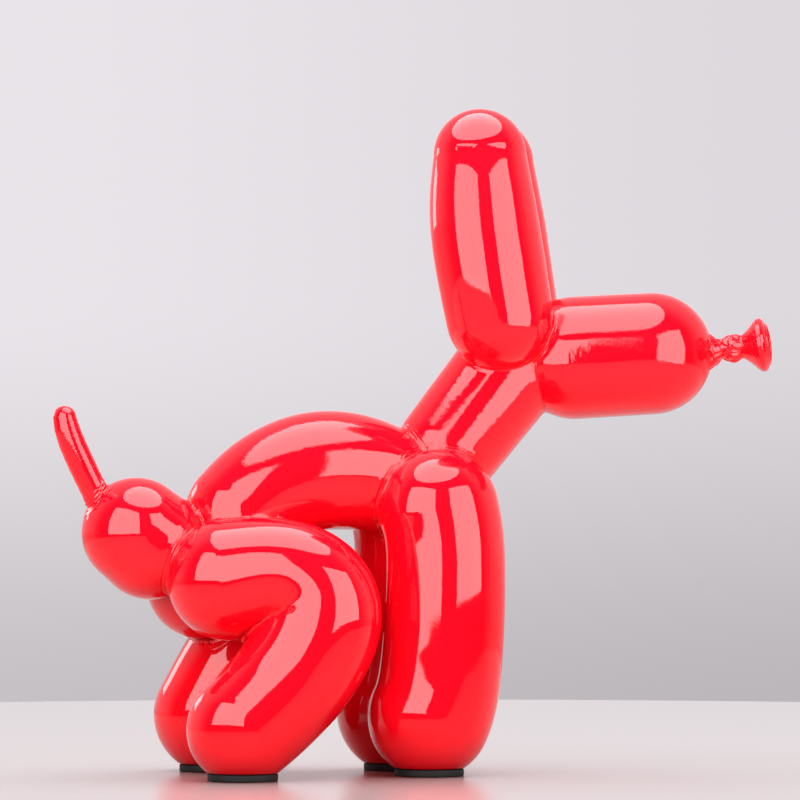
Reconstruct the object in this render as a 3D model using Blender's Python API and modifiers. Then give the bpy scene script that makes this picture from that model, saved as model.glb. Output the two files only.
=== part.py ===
"""A balloon poodle ornament: one cast figure that squats on four round stick-on pads."""

import math

import bmesh
import bpy
from mathutils import Matrix, Vector

# Driving dimensions, in metres. HEIGHT runs from the floor to the tips of the ears.
HEIGHT = 0.212
PAD_DIAMETER = 0.022
PAD_THICKNESS = 0.0023
PAD_GAP = 0.0003
PAD_BEVEL = 0.0004
SOLE_MARGIN = 0.0004
MOUTH_WALL = 0.0012
MOUTH_DEPTH = 0.0055

# The pose is written in hundredths of the height, as (forward, left, up, radius).
SHARE = HEIGHT / 100
SPINE = {
    "neck": [(7.7, 0, 49.0, 7.8), (16.6, 0, 60.0, 8.15)],
    "body": [
        (-25.1, 0, 39.3, 8.0),
        (-20.2, 0, 43.1, 8.5),
        (-12.8, 0, 45.5, 8.95),
        (-5.1, 0, 44.9, 8.55),
        (0.3, 0, 43.2, 7.6),
    ],
    "bubble": [(-40.9, 0, 36.4, 8.1), (-38.6, 0, 34.6, 8.3)],
    "tail": [(-51.8, 0, 53.4, 1.75), (-50.5, 0, 49.2, 2.0), (-46.7, 0, 41.4, 2.0)],
}
FRONT_LEG = [(3.7, 7.9, 39.7, 9.0), (4.6, 8.5, 31.6, 8.9), (3.8, 8.4, 15.7, 9.15)]
FRONT_FOOT = (2.1, 8.25, 9.3)
RIGHT_HIND_LEG = [
    (-28.8, 7.7, 29.4, 9.0),
    (-20.4, 10.9, 30.1, 8.1),
    (-15.9, 12.4, 24.6, 9.0),
    (-20.2, 12.7, 15.2, 8.8),
]
RIGHT_HIND_FOOT = (-28.0, 13.2, 8.3)
LEFT_HIND_LEG = [
    (-28.8, 8.2, 28.5, 8.3),
    (-18.5, 10.3, 29.8, 8.7),
    (-14.1, 11.7, 24.4, 8.7),
    (-18.5, 12.4, 20.2, 9.0),
]
LEFT_HIND_FOOT = (-25.6, 13.2, 9.1)

# The head has its own axes: it stands HEAD_FORWARD ahead, with ears and muzzle turned to the right.
HEAD_FORWARD = 19.5
EAR_TURN = math.radians(21.5)
MUZZLE_TURN = math.radians(25)
EAR = [(-3.0, 7.9, 68.7, 8.1), (-5.2, 9.4, 82.5, 8.2), (-5.9, 9.0, 93.0, 7.0)]
MUZZLE = [(7.95, 0, 62.7, 9.3), (19.65, 0, 63.3, 9.2)]

# The nozzle is turned about a line that leaves the muzzle's end: (along the line, radius).
NOZZLE_START = (28.2, 0, 63.6)
NOZZLE_RISE = math.radians(7)
NOZZLE_KNOT = [(0, 2.9), (1.1, 2.15), (2.1, 1.55), (2.9, 1.9), (3.6, 2.2), (4.4, 2.05), (5.2, 1.8)]
NOZZLE_FLARE = [(6.1, 2.35), (7.0, 3.2), (7.8, 3.9), (8.3, 4.05), (8.9, 3.75), (9.2, 3.25)]

# How finely the surface is drawn.
TUBE_RESOLUTION = 18
LINE_STEPS = 8
END_STEPS = 6
END_TIP = 0.03
VOXEL = HEIGHT / 190
TRIANGLES_KEPT = 0.038
TURN_STEPS = 24
PAD_SIDES = 32
SHARP_EDGE = math.radians(40)
MOUTH_STEPS = 4
WELD = 0.00001

SOLE_HEIGHT = PAD_THICKNESS + PAD_GAP
RED = (0.80, 0.010, 0.022, 1)
BLACK = (0.012, 0.012, 0.012, 1)


def clear_scene():
    for obj in list(bpy.data.objects):
        bpy.data.objects.remove(obj, do_unlink=True)


def collection(name, hidden=False):
    made = bpy.data.collections.new(name)
    bpy.context.scene.collection.children.link(made)
    made.hide_render = hidden
    return made


def material(name, colour, roughness, coat):
    made = bpy.data.materials.new(name)
    made.use_nodes = True
    shader = made.node_tree.nodes["Principled BSDF"]
    shader.inputs["Base Color"].default_value = colour
    shader.inputs["Roughness"].default_value = roughness
    shader.inputs["Metallic"].default_value = 0
    shader.inputs["Coat Weight"].default_value = coat
    return made


def right_side(points):
    """The mirror image of a line on the figure's left side."""
    return [(forward, -left, up, radius) for forward, left, up, radius in points]


def foot_point(forward, left, radius):
    """The middle of a round foot, so high that its flat sole is a little wider than the pad."""
    sole_radius = PAD_DIAMETER / 2 + SOLE_MARGIN
    above = math.sqrt(max((radius * SHARE) ** 2 - sole_radius**2, 0))
    return (forward, left, (SOLE_HEIGHT + above) / SHARE, radius)


def turned(point, turn):
    """A point of the head's own axes in the figure's axes."""
    forward, left, up = point[:3]
    ahead = HEAD_FORWARD + forward * math.cos(turn) + left * math.sin(turn)
    across = left * math.cos(turn) - forward * math.sin(turn)
    return (ahead, across, up, *point[3:])


def balloons():
    """Every balloon of the figure by name, as its line of (forward, left, up, radius)."""
    lines = dict(SPINE)
    lines["front_leg_left"] = FRONT_LEG + [foot_point(*FRONT_FOOT)]
    lines["front_leg_right"] = right_side(lines["front_leg_left"])
    lines["hind_leg_left"] = LEFT_HIND_LEG + [foot_point(*LEFT_HIND_FOOT)]
    lines["hind_leg_right"] = right_side(RIGHT_HIND_LEG + [foot_point(*RIGHT_HIND_FOOT)])
    lines["ear_left"] = [turned(point, EAR_TURN) for point in EAR]
    lines["ear_right"] = [turned(point, EAR_TURN) for point in right_side(EAR)]
    lines["muzzle"] = [turned(point, MUZZLE_TURN) for point in MUZZLE]
    return lines


def smooth_line(points):
    """Samples of a smooth curve through the points, as vectors of four numbers."""
    known = [Vector(point) for point in points]
    known = [2 * known[0] - known[1], *known, 2 * known[-1] - known[-2]]
    samples = []
    for before, start, end, after in zip(known, known[1:], known[2:], known[3:]):
        for step in range(LINE_STEPS):
            t = step / LINE_STEPS
            samples.append(
                start
                + (end - before) * (t / 2)
                + (2 * before - 5 * start + 4 * end - after) * (t**2 / 2)
                + (3 * start - before - 3 * end + after) * (t**3 / 2)
            )
    return [*samples, known[-2]]


def round_end(tip, inner):
    """Samples that close a tube with half a ball, from its widest ring to its tip."""
    outward = (tip.xyz - inner.xyz).normalized()
    samples = []
    for step in range(1, END_STEPS + 1):
        angle = math.pi / 2 * step / END_STEPS
        place = tip.xyz + outward * (tip.w * math.sin(angle))
        samples.append(Vector((*place, tip.w * max(math.cos(angle), END_TIP))))
    return samples


def balloon_mesh(name, points):
    """A closed tube with round ends along the line."""
    line = smooth_line(points)
    samples = [*reversed(round_end(line[0], line[1])), *line, *round_end(line[-1], line[-2])]
    curve = bpy.data.curves.new(name, "CURVE")
    curve.dimensions = "3D"
    curve.bevel_depth = SHARE
    curve.bevel_resolution = TUBE_RESOLUTION
    curve.use_fill_caps = True
    spline = curve.splines.new("POLY")
    spline.points.add(len(samples) - 1)
    for point, sample in zip(spline.points, samples):
        point.co = (*(sample.xyz * SHARE), 1)
        point.radius = sample.w
    tube = bpy.data.objects.new(name, curve)
    bpy.context.scene.collection.objects.link(tube)
    evaluated = tube.evaluated_get(bpy.context.evaluated_depsgraph_get())
    mesh = bpy.data.meshes.new_from_object(evaluated)
    bpy.data.objects.remove(tube, do_unlink=True)
    return mesh


def joined_mesh(name, meshes):
    """One mesh of all the tubes, each with its end caps welded on."""
    shape = bmesh.new()
    for mesh in meshes:
        shape.from_mesh(mesh)
        bpy.data.meshes.remove(mesh)
    bmesh.ops.remove_doubles(shape, verts=shape.verts, dist=WELD)
    bmesh.ops.recalc_face_normals(shape, faces=shape.faces)
    mesh = bpy.data.meshes.new(name)
    shape.to_mesh(mesh)
    shape.free()
    return mesh


def turned_piece(name, profile, place, group):
    """A closed profile of (radius, height) pairs turned about the piece's own Z axis."""
    mesh = bpy.data.meshes.new(name)
    points = [(radius, 0, height) for radius, height in profile]
    edges = [(i, i + 1) for i in range(len(points) - 1)]
    mesh.from_pydata(points, edges, [])
    piece = bpy.data.objects.new(name, mesh)
    group.objects.link(piece)
    piece.matrix_world = place
    turn = piece.modifiers.new("turn", "SCREW")
    turn.angle = 2 * math.pi
    turn.steps = TURN_STEPS
    turn.render_steps = TURN_STEPS
    turn.use_merge_vertices = True
    turn.merge_threshold = WELD
    return piece


def radius_at(outline, height):
    """The radius of an outline of (radius, height) pairs at a height between its ends."""
    for (low_radius, low), (high_radius, high) in zip(outline, outline[1:]):
        if height <= high:
            return low_radius + (high_radius - low_radius) * (height - low) / (high - low)
    return outline[-1][0]


def nozzle(cutters):
    """The knotted neck of the balloon, ending in a flared rim around an open mouth with an even wall."""
    outside = [(radius * SHARE, place * SHARE) for place, radius in NOZZLE_KNOT + NOZZLE_FLARE]
    rim, end = outside[-1]
    lip = (rim - MOUTH_WALL / 2, end + MOUTH_WALL / 4)
    inside = []
    for step in range(MOUTH_STEPS + 1):
        height = end - MOUTH_DEPTH * step / MOUTH_STEPS
        inside.append((radius_at(outside, height) - MOUTH_WALL, height))
    profile = [(0, 0), *outside, lip, *inside, (0, end - MOUTH_DEPTH)]
    profile.reverse()
    start = Vector(turned(NOZZLE_START, MUZZLE_TURN)) * SHARE
    aim = Matrix.Rotation(-MUZZLE_TURN, 4, "Z") @ Matrix.Rotation(math.pi / 2 - NOZZLE_RISE, 4, "Y")
    return turned_piece("nozzle", profile, Matrix.Translation(start) @ aim, cutters)


def sole_cutter(cutters):
    """A block that takes away everything below the soles."""
    bpy.ops.mesh.primitive_cube_add(size=1)
    block = bpy.context.object
    block.name = "sole_cutter"
    block.scale = (2 * HEIGHT, 2 * HEIGHT, HEIGHT)
    block.location = (0, 0, SOLE_HEIGHT - HEIGHT / 2)
    for owner in list(block.users_collection):
        owner.objects.unlink(block)
    cutters.objects.link(block)
    return block


def boolean(body, other, operation):
    other.hide_render = True
    other.display_type = "WIRE"
    step = body.modifiers.new(other.name, "BOOLEAN")
    step.operation = operation
    step.object = other


def poodle(parts, cutters, finish):
    """The cast figure: tubes melted into one skin, with the nozzle joined and the soles cut flat."""
    meshes = [balloon_mesh(name, line) for name, line in balloons().items()]
    figure = bpy.data.objects.new("poodle", joined_mesh("poodle", meshes))
    figure.data.materials.append(finish)
    parts.objects.link(figure)
    skin = figure.modifiers.new("one_skin", "REMESH")
    skin.mode = "VOXEL"
    skin.voxel_size = VOXEL
    skin.use_smooth_shade = True
    fewer = figure.modifiers.new("fewer_triangles", "DECIMATE")
    fewer.ratio = TRIANGLES_KEPT
    fewer.use_collapse_triangulate = True
    boolean(figure, nozzle(cutters), "UNION")
    boolean(figure, sole_cutter(cutters), "DIFFERENCE")
    return figure


def foot_pad(name, forward, left, parts, finish):
    """A round pad that lies flat on the floor under one foot."""
    bpy.ops.mesh.primitive_cylinder_add(
        vertices=PAD_SIDES,
        radius=PAD_DIAMETER / 2,
        depth=PAD_THICKNESS,
        location=(forward * SHARE, left * SHARE, PAD_THICKNESS / 2),
    )
    pad = bpy.context.object
    pad.name = name
    pad.data.materials.append(finish)
    pad.data.shade_smooth()
    pad.data.set_sharp_from_angle(angle=SHARP_EDGE)
    edge = pad.modifiers.new("edge", "BEVEL")
    edge.width = PAD_BEVEL
    edge.segments = 1
    edge.limit_method = "ANGLE"
    for owner in list(pad.users_collection):
        owner.objects.unlink(pad)
    parts.objects.link(pad)
    return pad


def foot_pads(parts, finish):
    front, front_side, _ = FRONT_FOOT
    hind_left, hind_left_side, _ = LEFT_HIND_FOOT
    hind_right, hind_right_side, _ = RIGHT_HIND_FOOT
    return [
        foot_pad("foot_pad_front_left", front, front_side, parts, finish),
        foot_pad("foot_pad_front_right", front, -front_side, parts, finish),
        foot_pad("foot_pad_hind_left", hind_left, hind_left_side, parts, finish),
        foot_pad("foot_pad_hind_right", hind_right, -hind_right_side, parts, finish),
    ]


def centre_over_origin(objects, everything):
    """Hangs everything on one empty, and moves it so that the middle of the box is over the origin."""
    bpy.context.view_layer.update()
    graph = bpy.context.evaluated_depsgraph_get()
    corners = []
    for obj in objects:
        shape = obj.evaluated_get(graph)
        corners += [obj.matrix_world @ vertex.co for vertex in shape.data.vertices]
    middle = [(min(c[axis] for c in corners) + max(c[axis] for c in corners)) / 2 for axis in (0, 1)]
    base = bpy.data.objects.new("balloon_poodle_base", None)
    bpy.context.scene.collection.objects.link(base)
    for obj in everything:
        obj.parent = base
    base.location = (-middle[0], -middle[1], 0)


def main():
    clear_scene()
    parts = collection("balloon_poodle")
    cutters = collection("cutters", hidden=True)
    lacquer = material("red_lacquer", RED, 0.06, 1.0)
    rubber = material("black_rubber", BLACK, 0.7, 0.0)
    pieces = [poodle(parts, cutters, lacquer), *foot_pads(parts, rubber)]
    centre_over_origin(pieces, [*pieces, *cutters.objects])


main()
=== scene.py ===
"""The balloon poodle as it looks: a cast figure under glossy red lacquer, on four rubber pads."""

import math

import bmesh
import bpy
import numpy as np
from mathutils import Matrix, Vector, noise

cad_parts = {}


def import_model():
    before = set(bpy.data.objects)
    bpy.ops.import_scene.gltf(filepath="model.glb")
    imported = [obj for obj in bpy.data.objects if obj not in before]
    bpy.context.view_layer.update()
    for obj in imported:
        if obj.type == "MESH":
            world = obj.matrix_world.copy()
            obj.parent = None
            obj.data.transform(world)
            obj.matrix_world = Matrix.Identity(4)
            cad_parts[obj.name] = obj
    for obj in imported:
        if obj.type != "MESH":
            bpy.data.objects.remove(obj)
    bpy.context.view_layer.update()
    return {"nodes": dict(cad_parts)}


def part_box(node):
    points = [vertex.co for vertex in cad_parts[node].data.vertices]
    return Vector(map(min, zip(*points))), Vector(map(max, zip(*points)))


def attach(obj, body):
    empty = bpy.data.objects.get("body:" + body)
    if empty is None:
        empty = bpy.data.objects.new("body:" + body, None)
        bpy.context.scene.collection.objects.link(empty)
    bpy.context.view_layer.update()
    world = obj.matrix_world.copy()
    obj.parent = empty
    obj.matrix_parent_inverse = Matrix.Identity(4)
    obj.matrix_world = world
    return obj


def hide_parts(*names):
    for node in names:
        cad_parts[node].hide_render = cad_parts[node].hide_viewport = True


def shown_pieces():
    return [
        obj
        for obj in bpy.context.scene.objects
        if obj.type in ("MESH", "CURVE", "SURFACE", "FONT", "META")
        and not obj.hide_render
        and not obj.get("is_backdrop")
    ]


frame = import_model()

MM = 0.001

# The pose of the CAD model, in hundredths of the height, as (forward, left, up, radius).
SHARE = 0.212 / 100
SOLE_HEIGHT = 0.0026
SOLE_RADIUS = 0.0114
NECK = [(7.7, 0, 49.0, 7.8), (16.6, 0, 60.0, 8.15)]
BODY = [
    (-25.1, 0, 39.3, 8.0), (-20.2, 0, 43.1, 8.5), (-12.8, 0, 45.5, 8.95),
    (-5.1, 0, 44.9, 8.55), (0.3, 0, 43.2, 7.6),
]
BUBBLE = [(-40.9, 0, 36.4, 8.1), (-38.6, 0, 34.6, 8.3)]
TAIL = [(-51.8, 0, 53.4, 1.75), (-50.5, 0, 49.2, 2.0), (-46.7, 0, 41.4, 2.0)]
FRONT_LEG = [(3.7, 7.9, 39.7, 9.0), (4.6, 8.5, 31.6, 8.9), (3.8, 8.4, 15.7, 9.15)]
FRONT_FOOT = (2.1, 8.25, 9.3)
RIGHT_HIND_LEG = [
    (-28.8, 7.7, 29.4, 9.0), (-20.4, 10.9, 30.1, 8.1), (-15.9, 12.4, 24.6, 9.0), (-20.2, 12.7, 15.2, 8.8),
]
RIGHT_HIND_FOOT = (-28.0, 13.2, 8.3)
LEFT_HIND_LEG = [
    (-28.8, 8.2, 28.5, 8.3), (-18.5, 10.3, 29.8, 8.7), (-14.1, 11.7, 24.4, 8.7), (-18.5, 12.4, 20.2, 9.0),
]
LEFT_HIND_FOOT = (-25.6, 13.2, 9.1)

# The head has its own axes: it stands HEAD_FORWARD ahead, with ears and muzzle turned to the right.
HEAD_FORWARD = 19.5
EAR_TURN = math.radians(21.5)
MUZZLE_TURN = math.radians(25)
EAR = [(-3.0, 7.9, 68.7, 8.1), (-5.2, 9.4, 82.5, 8.2), (-5.9, 9.0, 93.0, 7.0)]
MUZZLE = [(7.95, 0, 62.7, 9.3), (19.65, 0, 63.3, 9.2)]
NOZZLE_START = (28.2, 0, 63.6)
NOZZLE_RISE = math.radians(7)
NOZZLE_PROFILE = [
    (0, 2.9), (1.1, 2.15), (2.1, 1.55), (2.9, 1.9), (3.6, 2.2), (4.4, 2.05), (5.2, 1.8),
    (6.1, 2.35), (7.0, 3.2), (7.8, 3.9), (8.3, 4.05), (8.9, 3.75), (9.2, 3.25),
]

# The skin: how fine it is, and how its points are brought to the surface.
BALLS_A_SPAN = 8
VOXEL = 1.7 * MM
CREASE_BAND = 2.9 * MM
CREASE_CUTS = 3
MELT = 0.35 * MM
NEWTON_STEPS = 4
LEAST_SLOPE = 0.3
PROBE = 0.05 * MM
SCAN_STEPS = 12

# A balloon is only measured within FAR of its box. Elsewhere it counts as NOT_NEAR away.
FAR = 5 * MM
NOT_NEAR = 4 * FAR
BOX_SAMPLES = 40

# The flat faces under the feet, which keep a straight normal.
SOLE_FACING, SOLE_CLOSE = -0.999, 1e-6

# A raised lip runs along each crease, with a lower second one behind a tall lip.
# The height is by the pair of balloons that meet there, and rises and falls with a wave.
LIP_PLACE, LIP_WIDTH = 0.95 * MM, 0.38 * MM
SECOND_PLACE, SECOND_WIDTH = 2.15 * MM, 0.36 * MM
SECOND_SHARE, SECOND_FROM = 0.55, 0.14 * MM
PAIR_REACH = 0.8 * MM
LIP_EVEN, LIP_UNEVEN, LIP_WAVE, LIP_SEED = 0.62, 0.38, 5 * MM, 5
LIP = 0.10 * MM
LIPS = {
    ("front_right", "body"): 0.30, ("front_right", "neck"): 0.30, ("front_left", "body"): 0.30,
    ("front_left", "neck"): 0.30, ("neck", "body"): 0.26, ("tail", "bubble"): 0.34,
    ("bubble", "hind_right"): 0.22, ("bubble", "hind_left"): 0.22, ("body", "hind_right"): 0.16,
    ("body", "hind_left"): 0.16, ("bubble", "body"): 0.24, ("ear_right", "muzzle"): 0.10,
    ("ear_left", "muzzle"): 0.10, ("ear_right", "neck"): 0.05, ("neck", "muzzle"): 0.10,
}

# A hind leg folds on itself: its thigh ends and its shin starts at these places along its line.
# The fold shows where the two lines stand further apart than FOLD_NEAR.
FOLD_LIP = 0.13 * MM
THIGH_END, SHIN_START = 1.6, 2.5
FOLD_NEAR, FOLD_RAMP = 22 * MM, 9 * MM

# The lacquer's orange peel is strongest around the height of the neck and muzzle.
PEEL_HEIGHT, PEEL_CORE, PEEL_REACH = 0.121, 0.018, 0.030

# A hand-finished casting is never quite even: (wave length, height) of its slow waves.
WAVES = [(19 * MM, 0.022 * MM), (9 * MM, 0.006 * MM)]
WAVES_ADDED, WAVES_PEAK = 7, 3

# The nozzle: a thin wall with an open mouth, folds in its knot, fine ridges and a wavy rim that curls back.
NOZZLE_WALL, MOUTH_DEPTH = 1.1 * MM, 5.5 * MM
NOZZLE_RINGS, NOZZLE_SEGMENTS = 110, 144
KNOT_CELL, KNOT_DEPTH, KNOT_WAVE = 3.4 * MM, 1.5 * MM, 0.2 * MM
RIDGE_SIZE, RIDGE_HEIGHT = 0.2 * MM, 0.07 * MM
FLARE_WAVE, CURL_BACK = 0.2 * MM, 0.5 * MM

# The pads' rounded edge.
PAD_EDGE = 0.45 * MM
PAD_SEGMENTS = 96


def right_side(points):
    """The mirror image of points on the left side."""
    return [(forward, -left, up, radius) for forward, left, up, radius in points]


def foot_point(forward, left, radius):
    """The end of a leg, low enough for the sole to cut it at the sole's radius."""
    above = math.sqrt((radius * SHARE) ** 2 - SOLE_RADIUS**2)
    return (forward, left, (SOLE_HEIGHT + above) / SHARE, radius)


def turned(point, turn):
    """A point of the head's own axes in the figure's axes."""
    forward, left, up = point[:3]
    ahead = HEAD_FORWARD + forward * math.cos(turn) + left * math.sin(turn)
    across = left * math.cos(turn) - forward * math.sin(turn)
    return (ahead, across, up, *point[3:])


def base_offset():
    """Where the pose's own zero point lies, from the CAD's left front pad."""
    low, high = (Vector(corner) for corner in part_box("foot_pad_front_left"))
    middle = (low + high) / 2
    return Vector((middle.x - FRONT_FOOT[0] * SHARE, middle.y - FRONT_FOOT[1] * SHARE, 0))


BASE = base_offset()

# The camera stands to the figure's right and a little behind it.
EYE = BASE + Vector((-0.4571, -1.5333, 0.0904))
TARGET = BASE + Vector((0, 0, 0.1192))
LENS = 225
ACROSS = Vector((EYE - TARGET).xy.normalized().to_3d().cross((0, 0, -1)))
AWAY = -(EYE - TARGET).xy.normalized().to_3d()


def world(point):
    """A point in hundredths of the height, in metres in the row frame."""
    return Vector(point[:3]) * SHARE + BASE


def balloon_lines():
    """Every balloon's centre line, with its radius."""
    lines = {"neck": NECK, "body": BODY, "bubble": BUBBLE, "tail": TAIL}
    lines["front_left"] = FRONT_LEG + [foot_point(*FRONT_FOOT)]
    lines["front_right"] = right_side(lines["front_left"])
    lines["hind_left"] = LEFT_HIND_LEG + [foot_point(*LEFT_HIND_FOOT)]
    lines["hind_right"] = right_side(RIGHT_HIND_LEG + [foot_point(*RIGHT_HIND_FOOT)])
    lines["ear_left"] = [turned(point, EAR_TURN) for point in EAR]
    lines["ear_right"] = [turned(point, EAR_TURN) for point in right_side(EAR)]
    lines["muzzle"] = [turned(point, MUZZLE_TURN) for point in MUZZLE]
    return lines


def spline(points):
    """A natural cubic spline through the points: coefficients (span, power, component), in metres."""
    knots = np.array([(*world(point), point[3] * SHARE) for point in points])
    count = len(knots)
    matrix = np.eye(count)
    right = np.zeros_like(knots)
    for i in range(1, count - 1):
        matrix[i, i - 1:i + 2] = (1, 4, 1)
        right[i] = 6 * (knots[i - 1] - 2 * knots[i] + knots[i + 1])
    second = np.linalg.solve(matrix, right)
    spans = []
    for i in range(count - 1):
        slope = knots[i + 1] - knots[i] - (2 * second[i] + second[i + 1]) / 6
        spans.append((knots[i], slope, second[i] / 2, (second[i + 1] - second[i]) / 6))
    return np.array(spans)


def on_spline(spans, t):
    """Point and radius, slope and curvature of a spline at the parameters t."""
    index = np.clip(t.astype(int), 0, len(spans) - 1)
    u = (t - index)[:, None]
    a, b, c, d = (spans[index, power] for power in range(4))
    return a + u * (b + u * (c + u * d)), b + u * (2 * c + 3 * u * d), 2 * c + 6 * u * d


LINES = {name: spline(points) for name, points in balloon_lines().items()}
NAMES = list(LINES)
LIP_HEIGHT = np.full((len(NAMES), len(NAMES)), LIP)
for pair, height in LIPS.items():
    one, other = (NAMES.index(name) for name in pair)
    LIP_HEIGHT[one, other] = LIP_HEIGHT[other, one] = height * MM


def nearest(places, spans, first, last):
    """Distance from a balloon's surface and the nearest point of its line between two parameters."""
    scan = np.linspace(first, last, max(int((last - first) * SCAN_STEPS), 4) + 1)
    centres = on_spline(spans, scan)[0][:, :3]
    t = scan[np.argmin((centres**2).sum(1) - 2 * places @ centres.T, axis=1)]
    for _ in range(3):
        centre, slope, curve = on_spline(spans, t)
        gap = centre[:, :3] - places
        down = (gap * slope[:, :3]).sum(1)
        speed = (slope[:, :3] ** 2).sum(1)
        change = speed + (gap * curve[:, :3]).sum(1)
        t = np.clip(t - down / np.maximum(change, speed / 8), first, last)
    centre = on_spline(spans, t)[0]
    return np.linalg.norm(places - centre[:, :3], axis=1) - centre[:, 3], centre[:, :3]


def smooth_ramp(x):
    x = np.clip(x, 0, 1)
    return x * x * (3 - 2 * x)


def balloon(places, name):
    """Distance from one balloon, the gap between its own thigh and shin, and how much they are a fold."""
    spans = LINES[name]
    line = on_spline(spans, np.linspace(0, len(spans), BOX_SAMPLES))[0]
    low = (line[:, :3] - line[:, 3:]).min(0) - FAR
    high = (line[:, :3] + line[:, 3:]).max(0) + FAR
    near = ((places > low) & (places < high)).all(1)
    distance = np.full(len(places), NOT_NEAR)
    gap = np.full(len(places), NOT_NEAR)
    fold = np.zeros(len(places))
    distance[near] = nearest(places[near], spans, 0, len(spans))[0]
    if name.startswith("hind"):
        thigh, thigh_middle = nearest(places[near], spans, 0, THIGH_END)
        shin, shin_middle = nearest(places[near], spans, SHIN_START, len(spans))
        gap[near] = np.abs(thigh - shin)
        apart = np.linalg.norm(thigh_middle - shin_middle, axis=1)
        fold[near] = smooth_ramp((apart - FOLD_NEAR) / FOLD_RAMP)
    return distance, gap, fold


def waves(places, length, seed):
    """A slow random wave between about -1 and 1."""
    random = np.random.default_rng(seed)
    total = np.zeros(len(places))
    for _ in range(WAVES_ADDED):
        way = random.normal(size=3)
        way *= 2 * math.pi / length / np.linalg.norm(way)
        total += np.sin(places @ way + random.uniform(0, 2 * math.pi))
    return total / WAVES_PEAK


def lip_profile(gap, height):
    """A lip of this height beside a crease, and a lower second one where the first is tall."""
    first = np.exp(-(((gap - LIP_PLACE) / LIP_WIDTH) ** 2))
    second = np.exp(-(((gap - SECOND_PLACE) / SECOND_WIDTH) ** 2))
    return height * (first + SECOND_SHARE * smooth_ramp(height / SECOND_FROM - 1) * second)


def field(places, crease_gap=False):
    """Distance from the figure's skin, or only the gap to the nearest crease where crease_gap is set."""
    parts = [balloon(places, name) for name in NAMES]
    each = np.array([part[0] for part in parts])
    folds = np.array([part[1] for part in parts])
    folded = np.array([part[2] for part in parts])
    least = each.min(0)
    own = each.argmin(0)
    columns = np.arange(len(places))
    fold_gap = folds[own, columns]
    fold = folded[own, columns]
    weight = np.exp(-(each - least) / PAIR_REACH)
    weight[own, columns] = 0
    rest = each.copy()
    rest[own, columns] = NOT_NEAR
    gap = rest.min(0) - least
    if crease_gap:
        return np.minimum(gap, np.where(fold > 0.3, fold_gap, NOT_NEAR))
    height = (weight * LIP_HEIGHT[own].T).sum(0) / np.maximum(weight.sum(0), 1e-12)
    uneven = LIP_EVEN + LIP_UNEVEN * waves(places, LIP_WAVE, LIP_SEED)
    skin = least - MELT * np.log(np.exp(-(each - least) / MELT).sum(0))
    skin -= MELT * fold * np.log1p(np.exp(-fold_gap / MELT))
    skin -= uneven * lip_profile(gap, height)
    skin -= uneven * lip_profile(fold_gap, FOLD_LIP * fold**2)
    for number, (length, amount) in enumerate(WAVES):
        skin -= amount * waves(places, length, number)
    return skin


def gradient(places, at=None):
    """The slope of the field; one-sided and cheaper where its value is given."""
    slope = np.empty_like(places)
    for axis in range(3):
        step = np.zeros(3)
        step[axis] = PROBE
        if at is None:
            slope[:, axis] = (field(places + step) - field(places - step)) / (2 * PROBE)
        else:
            slope[:, axis] = (field(places + step) - at) / PROBE
    return slope


def rough_skin():
    """The balloons as chains of balls, remeshed into one closed skin."""
    shape = bmesh.new()
    for spans in LINES.values():
        last = len(spans)
        t = np.linspace(0, last, last * BALLS_A_SPAN + 1)
        for x, y, z, radius in on_spline(spans, t)[0]:
            place = Matrix.Translation((x, y, z))
            bmesh.ops.create_icosphere(shape, subdivisions=3, radius=radius, matrix=place)
    mesh = bpy.data.meshes.new("rough_skin")
    shape.to_mesh(mesh)
    shape.free()
    rough = bpy.data.objects.new("rough_skin", mesh)
    bpy.context.scene.collection.objects.link(rough)
    remesh = rough.modifiers.new("one_skin", "REMESH")
    remesh.mode = "VOXEL"
    remesh.voxel_size = VOXEL
    evaluated = rough.evaluated_get(bpy.context.evaluated_depsgraph_get())
    skin = bpy.data.meshes.new_from_object(evaluated)
    bpy.data.objects.remove(rough, do_unlink=True)
    return skin


def mesh_places(mesh):
    """A mesh's points as rows of an array."""
    places = np.empty(len(mesh.vertices) * 3)
    mesh.vertices.foreach_get("co", places)
    return places.reshape(-1, 3)


def finer_creases(mesh):
    """Cuts the faces near a crease into finer ones."""
    shape = bmesh.new()
    shape.from_mesh(mesh)
    middles = np.array([face.calc_center_median() for face in shape.faces])
    close = field(middles, crease_gap=True) < CREASE_BAND
    edges = {edge for face, chosen in zip(shape.faces, close) if chosen for edge in face.edges}
    ordered = sorted(edges, key=lambda edge: edge.index)
    bmesh.ops.subdivide_edges(shape, edges=ordered, cuts=CREASE_CUTS, use_grid_fill=True)
    shape.to_mesh(mesh)
    shape.free()


def bring_to_surface(mesh):
    """Moves a mesh's points onto the figure's skin by Newton steps."""
    places = mesh_places(mesh)
    for _ in range(NEWTON_STEPS):
        value = field(places)
        slope = gradient(places, value)
        places -= slope * (value / np.maximum((slope**2).sum(1), LEAST_SLOPE))[:, None]
    mesh.vertices.foreach_set("co", places.ravel())
    mesh.update()


def flatten_soles(mesh):
    """Cuts the feet flat and closes them."""
    shape = bmesh.new()
    shape.from_mesh(mesh)
    everything = [*shape.verts, *shape.edges, *shape.faces]
    cut = bmesh.ops.bisect_plane(
        shape, geom=everything, plane_co=(0, 0, SOLE_HEIGHT), plane_no=(0, 0, -1), clear_outer=True
    )
    rims = [part for part in cut["geom_cut"] if isinstance(part, bmesh.types.BMEdge)]
    bmesh.ops.holes_fill(shape, edges=rims)
    shape.normal_update()
    shape.to_mesh(mesh)
    shape.free()
    mesh.update()
    mesh.shade_smooth()


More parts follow.
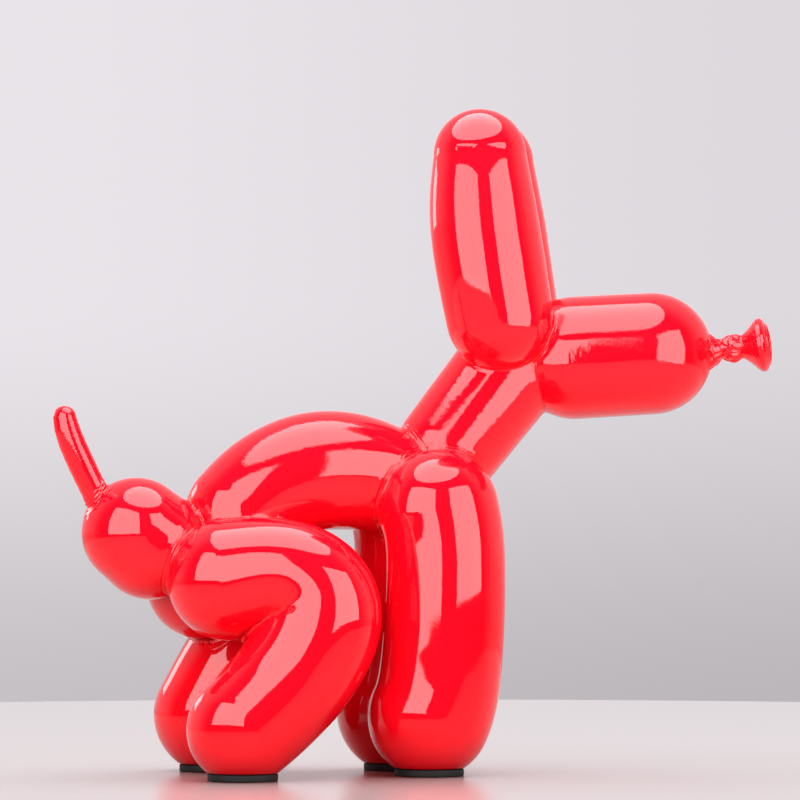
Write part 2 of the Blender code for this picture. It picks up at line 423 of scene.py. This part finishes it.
def set_normals(mesh):
    """Shades the skin by the exact slope of the field, and the soles flat."""
    slope = gradient(mesh_places(mesh))
    slope /= np.maximum(np.linalg.norm(slope, axis=1), 1e-9)[:, None]
    corner_vertex = np.empty(len(mesh.loops), dtype=int)
    mesh.loops.foreach_get("vertex_index", corner_vertex)
    normals = slope[corner_vertex]
    for face in mesh.polygons:
        if face.normal.z < SOLE_FACING and face.center.z < SOLE_HEIGHT + SOLE_CLOSE:
            normals[list(face.loop_indices)] = (0, 0, -1)
    mesh.normals_split_custom_set(normals.tolist())


def figure_skin():
    """The whole cast figure but its nozzle, as one closed mesh."""
    mesh = rough_skin()
    finer_creases(mesh)
    bring_to_surface(mesh)
    flatten_soles(mesh)
    set_normals(mesh)
    return mesh


def add_piece(name, mesh, material, slot, *nodes):
    """Puts a mesh in the scene in place of the CAD nodes that it dresses."""
    piece = bpy.data.objects.new(name, mesh)
    bpy.context.scene.collection.objects.link(piece)
    mesh.materials.clear()
    mesh.materials.append(material)
    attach(piece, "root")
    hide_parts(*nodes)


# Materials.
class Nodes:
    """A short way to write a material's node tree."""

    def __init__(self, name):
        self.material = bpy.data.materials.new(name)
        self.material.use_nodes = True
        self.tree = self.material.node_tree
        self.shader = self.tree.nodes["Principled BSDF"]

    def add(self, kind, inputs=None, **settings):
        node = self.tree.nodes.new(kind)
        for key, value in settings.items():
            setattr(node, key, value)
        for key, value in (inputs or {}).items():
            if isinstance(value, bpy.types.NodeSocket):
                self.tree.links.new(value, node.inputs[key])
            else:
                node.inputs[key].default_value = value
        return node

    def set(self, **values):
        for key, value in values.items():
            socket = self.shader.inputs[key.replace("_", " ")]
            if isinstance(value, bpy.types.NodeSocket):
                self.tree.links.new(value, socket)
            else:
                socket.default_value = value


def red_lacquer():
    """Deep red under clear lacquer, with slow waves and patches of orange peel and fine grain."""
    paint = Nodes("red_lacquer_look")
    place = paint.add("ShaderNodeTexCoord").outputs["Object"]

    def grain(scale, detail=1, roughness=0.5):
        values = {"Vector": place, "Scale": scale, "Detail": detail, "Roughness": roughness}
        return paint.add("ShaderNodeTexNoise", values).outputs["Fac"]

    def patches(scale, low, high, least, most):
        values = {"Value": grain(scale), "From Min": low, "From Max": high, "To Min": least, "To Max": most}
        return paint.add("ShaderNodeMapRange", values, interpolation_type="SMOOTHSTEP").outputs["Result"]

    def raised(height, where, distance, below=None):
        inputs = {"Height": height, "Strength": where, "Distance": distance}
        if below:
            inputs["Normal"] = below
        return paint.add("ShaderNodeBump", inputs).outputs["Normal"]

    def times(one, other):
        return paint.add("ShaderNodeMath", {0: one, 1: other}, operation="MULTIPLY").outputs["Value"]

    level = paint.add("ShaderNodeSeparateXYZ", {"Vector": place}).outputs["Z"]
    above = paint.add("ShaderNodeMath", {0: level, 1: PEEL_HEIGHT}, operation="SUBTRACT").outputs["Value"]
    away = paint.add("ShaderNodeMath", {0: above}, operation="ABSOLUTE").outputs["Value"]
    limits = {"Value": away, "From Min": PEEL_CORE, "From Max": PEEL_REACH, "To Min": 1.0, "To Max": 0.2}
    band = paint.add("ShaderNodeMapRange", limits, interpolation_type="SMOOTHSTEP").outputs["Result"]

    normal = raised(grain(110), 1.0, 0.03 * MM)
    normal = raised(grain(430), times(patches(26, 0.40, 0.58, 0.3, 1.0), band), 0.045 * MM, normal)
    normal = raised(grain(1500, 2, 0.6), times(patches(31, 0.46, 0.62, 0.15, 1.0), band), 0.024 * MM, normal)
    tint = paint.add("ShaderNodeValToRGB", {"Fac": grain(45, 2)})
    tint.color_ramp.elements[0].color = (0.74, 0.0012, 0.007, 1)
    tint.color_ramp.elements[1].color = (0.80, 0.0018, 0.010, 1)
    paint.set(
        Base_Color=tint.outputs["Color"],
        Roughness=0.5,
        IOR=1.5,
        Specular_IOR_Level=0.0,
        Coat_Weight=1.0,
        Coat_Roughness=0.035,
        Coat_IOR=1.5,
        Normal=normal,
        Coat_Normal=normal,
    )
    return paint.material


def black_rubber():
    """Matte black rubber with a fine grain."""
    rubber = Nodes("black_rubber_look")
    place = rubber.add("ShaderNodeTexCoord").outputs["Object"]
    grain = rubber.add("ShaderNodeTexNoise", {"Vector": place, "Scale": 2600, "Detail": 3, "Roughness": 0.6})
    height = grain.outputs["Fac"]
    bump = rubber.add("ShaderNodeBump", {"Height": height, "Strength": 0.6, "Distance": 0.06 * MM})
    shade = rubber.add("ShaderNodeValToRGB", {"Fac": height})
    shade.color_ramp.elements[0].color = (0.005, 0.0045, 0.0045, 1)
    shade.color_ramp.elements[1].color = (0.014, 0.0125, 0.0125, 1)
    rubber.set(
        Base_Color=shade.outputs["Color"],
        Roughness=0.66,
        Specular_IOR_Level=0.32,
        Normal=bump.outputs["Normal"],
    )
    return rubber.material


def lathe(name, profile, segments, place, shift=None):
    """A closed surface turned about Z from (radius, height) pairs, whose ends lie on the axis."""
    places = []
    for radius, height in profile[1:-1]:
        for step in range(segments):
            angle = 2 * math.pi * step / segments
            point = Vector((radius * math.cos(angle), radius * math.sin(angle), height))
            places.append(shift(point, angle) if shift else point)
    rings = len(profile) - 2
    faces = []
    for ring in range(rings - 1):
        for step in range(segments):
            after = (step + 1) % segments
            a, b = ring * segments + step, ring * segments + after
            faces.append((a, b, b + segments, a + segments))
    bottom, top = len(places), len(places) + 1
    places += [Vector((0, 0, profile[0][1])), Vector((0, 0, profile[-1][1]))]
    last = (rings - 1) * segments
    for step in range(segments):
        after = (step + 1) % segments
        faces.append((bottom, after, step))
        faces.append((top, last + step, last + after))
    mesh = bpy.data.meshes.new(name)
    mesh.from_pydata([place @ point for point in places], [], faces)
    mesh.shade_smooth()
    return mesh


def foot_pads(material):
    """A round pad with softened edges in place of each CAD pad, of the same size."""
    lower = np.linspace(0.2, math.pi / 2, 6)
    upper = np.linspace(0, math.pi / 2 - 0.2, 6)
    for name in frame["nodes"]:
        if not name.startswith("foot_pad"):
            continue
        low, high = (Vector(corner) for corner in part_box(name))
        middle = Matrix.Translation(((low.x + high.x) / 2, (low.y + high.y) / 2, 0))
        inner = (high.x - low.x) / 2 - PAD_EDGE
        top = high.z
        profile = [(0, 0), (inner, 0)]
        profile += [(inner + PAD_EDGE * math.sin(a), PAD_EDGE - PAD_EDGE * math.cos(a)) for a in lower]
        profile += [(inner + PAD_EDGE * math.cos(a), top - PAD_EDGE + PAD_EDGE * math.sin(a)) for a in upper]
        profile += [(inner, top), (0, top)]
        mesh = lathe(name, profile, PAD_SEGMENTS, middle)
        add_piece(name + "_rubber", mesh, material, "black_rubber", name)


def smooth_profile(pairs, steps):
    """More (radius, height) pairs on a smooth curve through (along, radius) pairs."""
    along = np.array([pair[0] for pair in pairs]) * SHARE
    radius = np.array([pair[1] for pair in pairs]) * SHARE
    slopes = np.gradient(radius, along)
    result = []
    for place in np.linspace(along[0], along[-1], steps):
        i = min(np.searchsorted(along, place, side="right") - 1, len(along) - 2)
        width = along[i + 1] - along[i]
        u = (place - along[i]) / width
        value = (
            (2 * u**3 - 3 * u**2 + 1) * radius[i]
            + (u**3 - 2 * u**2 + u) * width * slopes[i]
            + (3 * u**2 - 2 * u**3) * radius[i + 1]
            + (u**3 - u**2) * width * slopes[i + 1]
        )
        result.append((float(value), float(place)))
    return result


def crumple(point, angle, length):
    """Blocky folds in the knot, ridges round the flare, and a rim that curls back at top and bottom."""
    along = point.z / length
    way = Vector((math.cos(angle), math.sin(angle), 0))
    lumps, _ = noise.voronoi(point / KNOT_CELL + Vector((3.1, 0.4, 7.7)))
    knot = min(along / 0.06, 1) * max(0, min(1, (0.62 - along) / 0.08))
    out = (min(lumps[1] - lumps[0], 0.36) - 0.2) * KNOT_DEPTH * knot
    out += KNOT_WAVE * knot * math.cos(2 * angle + 9 * along)
    flare = max(0, min(1, (along - 0.6) / 0.4))
    ridges = max(0, min(1, (along - 0.76) / 0.06))
    out += RIDGE_HEIGHT * ridges * math.sin(point.z / RIDGE_SIZE + 0.9 * math.sin(2 * angle))
    out += FLARE_WAVE * flare * math.sin(3 * angle + 0.6)
    back = CURL_BACK * flare**2 * math.cos(angle) ** 2
    return point + way * out - Vector((0, 0, back))


def nozzle(material):
    """The tied end of the balloon on the muzzle's tip."""
    outside = smooth_profile(NOZZLE_PROFILE, NOZZLE_RINGS)
    rim, end = outside[-1]
    bottom = end - MOUTH_DEPTH
    inside = [(radius - NOZZLE_WALL, height) for radius, height in outside if height > bottom]
    inside.reverse()
    half = NOZZLE_WALL / 2
    lip = [(rim - half + half * math.cos(a), end + half * math.sin(a)) for a in np.linspace(0.3, 2.84, 7)]
    profile = [(0, 0), *outside, *lip, *inside, (0, bottom)]
    aim = Matrix.Rotation(-MUZZLE_TURN, 4, "Z") @ Matrix.Rotation(math.pi / 2 - NOZZLE_RISE, 4, "Y")
    place = Matrix.Translation(world(turned(NOZZLE_START, MUZZLE_TURN))) @ aim
    mesh = lathe("nozzle", profile, NOZZLE_SEGMENTS, place, lambda point, angle: crumple(point, angle, end))
    add_piece("nozzle", mesh, material, "red_lacquer", "poodle")


# Stage, lights and camera.
def stage():
    """A pale round floor whose far edge is the line behind the figure in the photo."""
    floor_paint = Nodes("pale_floor")
    floor_paint.set(Base_Color=(0.83, 0.765, 0.755, 1), Roughness=0.2, IOR=1.45)
    shape = bmesh.new()
    bmesh.ops.create_circle(shape, cap_ends=True, segments=256, radius=0.56)
    mesh = bpy.data.meshes.new("floor")
    shape.to_mesh(mesh)
    shape.free()
    floor = bpy.data.objects.new("floor", mesh)
    bpy.context.scene.collection.objects.link(floor)
    mesh.materials.append(floor_paint.material)
    floor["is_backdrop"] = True


def area_light(name, azimuth, distance, height, size, radiance, down=False, glossy=True):
    """A light panel, at an angle to the right of the line from the figure to the camera."""
    angle = math.radians(azimuth)
    direction = ACROSS * math.sin(angle) - AWAY * math.cos(angle)
    foot = Vector((TARGET.x, TARGET.y, 0))
    data = bpy.data.lights.new(name, "AREA")
    data.shape = "ELLIPSE" if down else "RECTANGLE"
    data.size, data.size_y = size
    data.energy = radiance * size[0] * size[1] * math.pi * (math.pi / 4 if down else 1)
    light = bpy.data.objects.new(name, data)
    light.location = foot + direction * distance + Vector((0, 0, height))
    aim = Vector((0, 0, -1)) if down else -direction
    light.rotation_euler = aim.to_track_quat("-Z", "Y").to_euler()
    light.visible_camera = False
    light.visible_glossy = glossy
    bpy.context.scene.collection.objects.link(light)
    return light


def lights():
    """Panels that light only the figure and its pads, and a room light for everything."""
    panels = [
        area_light("overhead_light", -14, 0.065, 0.34, (0.33, 0.29), 5.3, down=True),
        area_light("right_box", 45.5, 0.30, 0.195, (0.26, 0.28), 5.4),
        area_light("left_box", -32.5, 0.30, 0.20, (0.32, 0.28), 5.4),
        area_light("rim_light", -131, 0.60, 0.24, (0.16, 0.14), 3.6),
        area_light("front_fill", 0, 0.9, 0.5, (0.9, 0.6), 1.6, glossy=False),
    ]
    lit = bpy.data.collections.new("lit_by_panels")
    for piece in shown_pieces():
        lit.objects.link(piece)
    for panel in panels:
        panel.light_linking.receiver_collection = lit
    area_light("room_light", 0, 0, 1.6, (2.6, 2.6), 1.72, down=True, glossy=False)


def studio():
    """A grey backdrop, brighter upwards, and a dark room on the camera's side of the figure."""
    sky = bpy.data.worlds.new("studio")
    bpy.context.scene.world = sky
    sky.use_nodes = True
    tree = sky.node_tree
    background = tree.nodes["Background"]

    def ramp(value, low, high, to_low, to_high):
        node = tree.nodes.new("ShaderNodeMapRange")
        node.interpolation_type = "SMOOTHSTEP"
        for key, number in (("From Min", low), ("From Max", high), ("To Min", to_low), ("To Max", to_high)):
            node.inputs[key].default_value = number
        tree.links.new(value, node.inputs["Value"])
        return node.outputs["Result"]

    def along(way):
        node = tree.nodes.new("ShaderNodeVectorMath")
        node.operation = "DOT_PRODUCT"
        tree.links.new(direction, node.inputs[0])
        node.inputs[1].default_value = way
        return node.outputs["Value"]

    direction = tree.nodes.new("ShaderNodeTexCoord").outputs["Generated"]
    shade = tree.nodes.new("ShaderNodeValToRGB")
    tree.links.new(ramp(along((0, 0, 1)), -0.05, 0.04, 0, 1), shade.inputs["Fac"])
    shade.color_ramp.elements[0].color = (0.52, 0.495, 0.515, 1)
    shade.color_ramp.elements[1].color = (0.77, 0.735, 0.77, 1)
    seen = tree.nodes.new("ShaderNodeLightPath").outputs["Is Camera Ray"]
    sides = ramp(along(ACROSS), -0.09, 0.09, 1.06, 0.94)
    behind = ramp(along(AWAY), -0.25, 0.35, 0.05, 0.9)
    level = tree.nodes.new("ShaderNodeMix")
    tree.links.new(seen, level.inputs["Factor"])
    tree.links.new(behind, level.inputs[2])
    tree.links.new(sides, level.inputs[3])
    tree.links.new(level.outputs[0], background.inputs["Strength"])
    tree.links.new(shade.outputs["Color"], background.inputs["Color"])


def camera():
    """The photo's view: a long lens low down, aimed slightly upwards."""
    data = bpy.data.cameras.new("camera")
    data.lens = LENS
    data.sensor_width = 36
    data.clip_end = 20
    eye = bpy.data.objects.new("camera", data)
    eye.location = EYE
    eye.rotation_euler = (TARGET - EYE).to_track_quat("-Z", "Y").to_euler()
    bpy.context.scene.collection.objects.link(eye)
    bpy.context.scene.camera = eye


lacquer = red_lacquer()
rubber = black_rubber()
add_piece("poodle_skin", figure_skin(), lacquer, "red_lacquer", "poodle")
nozzle(lacquer)
foot_pads(rubber)
stage()
lights()
studio()
camera()
bpy.context.scene.view_settings.view_transform = "Standard"
